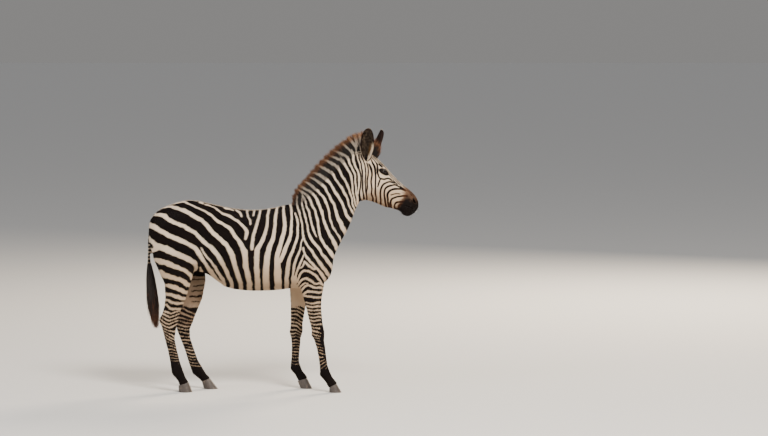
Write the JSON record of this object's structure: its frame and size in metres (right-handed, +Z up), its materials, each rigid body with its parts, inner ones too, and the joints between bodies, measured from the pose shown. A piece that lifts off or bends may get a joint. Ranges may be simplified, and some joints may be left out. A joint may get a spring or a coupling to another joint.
{
  "type": "zebra figure",
  "caption": "Life-size standing plains zebra with raised head, upright mane, cupped ears, hanging tufted tail and legs a short step apart on level hooves.",
  "frame": {"origin": "on the ground, below the middle of the zebra's bounding box", "axes": "+X forwards, from tail to muzzle; +Y to the zebra's left; +Z up"},
  "size_m": [1.782, 0.4418, 1.7221],
  "materials": {
    "coat": "short striped hair, white and black",
    "muzzle": "black skin under very short dark hair",
    "mane": "stiff upright striped hair with brown tips",
    "ear": "short hair with a dark rim",
    "tail_hair": "long coarse black hair",
    "eye": "wet and glossy, dark brown",
    "horn": "dark grey hoof horn, paler along the front"
  },
  "bodies": {
    "root": {"head": "coat", "muzzle": "muzzle", "neck": "coat", "trunk": "coat", "foreleg_right_upper": "coat", "foreleg_right_lower": "coat", "foreleg_left_upper": "coat", "foreleg_left_lower": "coat", "hindleg_right_upper": "coat", "hindleg_right_lower": "coat", "hindleg_left_upper": "coat", "hindleg_left_lower": "coat", "eye_right": "eye", "eye_left": "eye", "ear_right": "ear", "ear_left": "ear", "forehoof_right": "horn", "forehoof_left": "horn", "hindhoof_right": "horn", "hindhoof_left": "horn", "mane": "mane", "tail_dock": "coat", "tail_tuft": "tail_hair"}
  },
  "joints": []
}
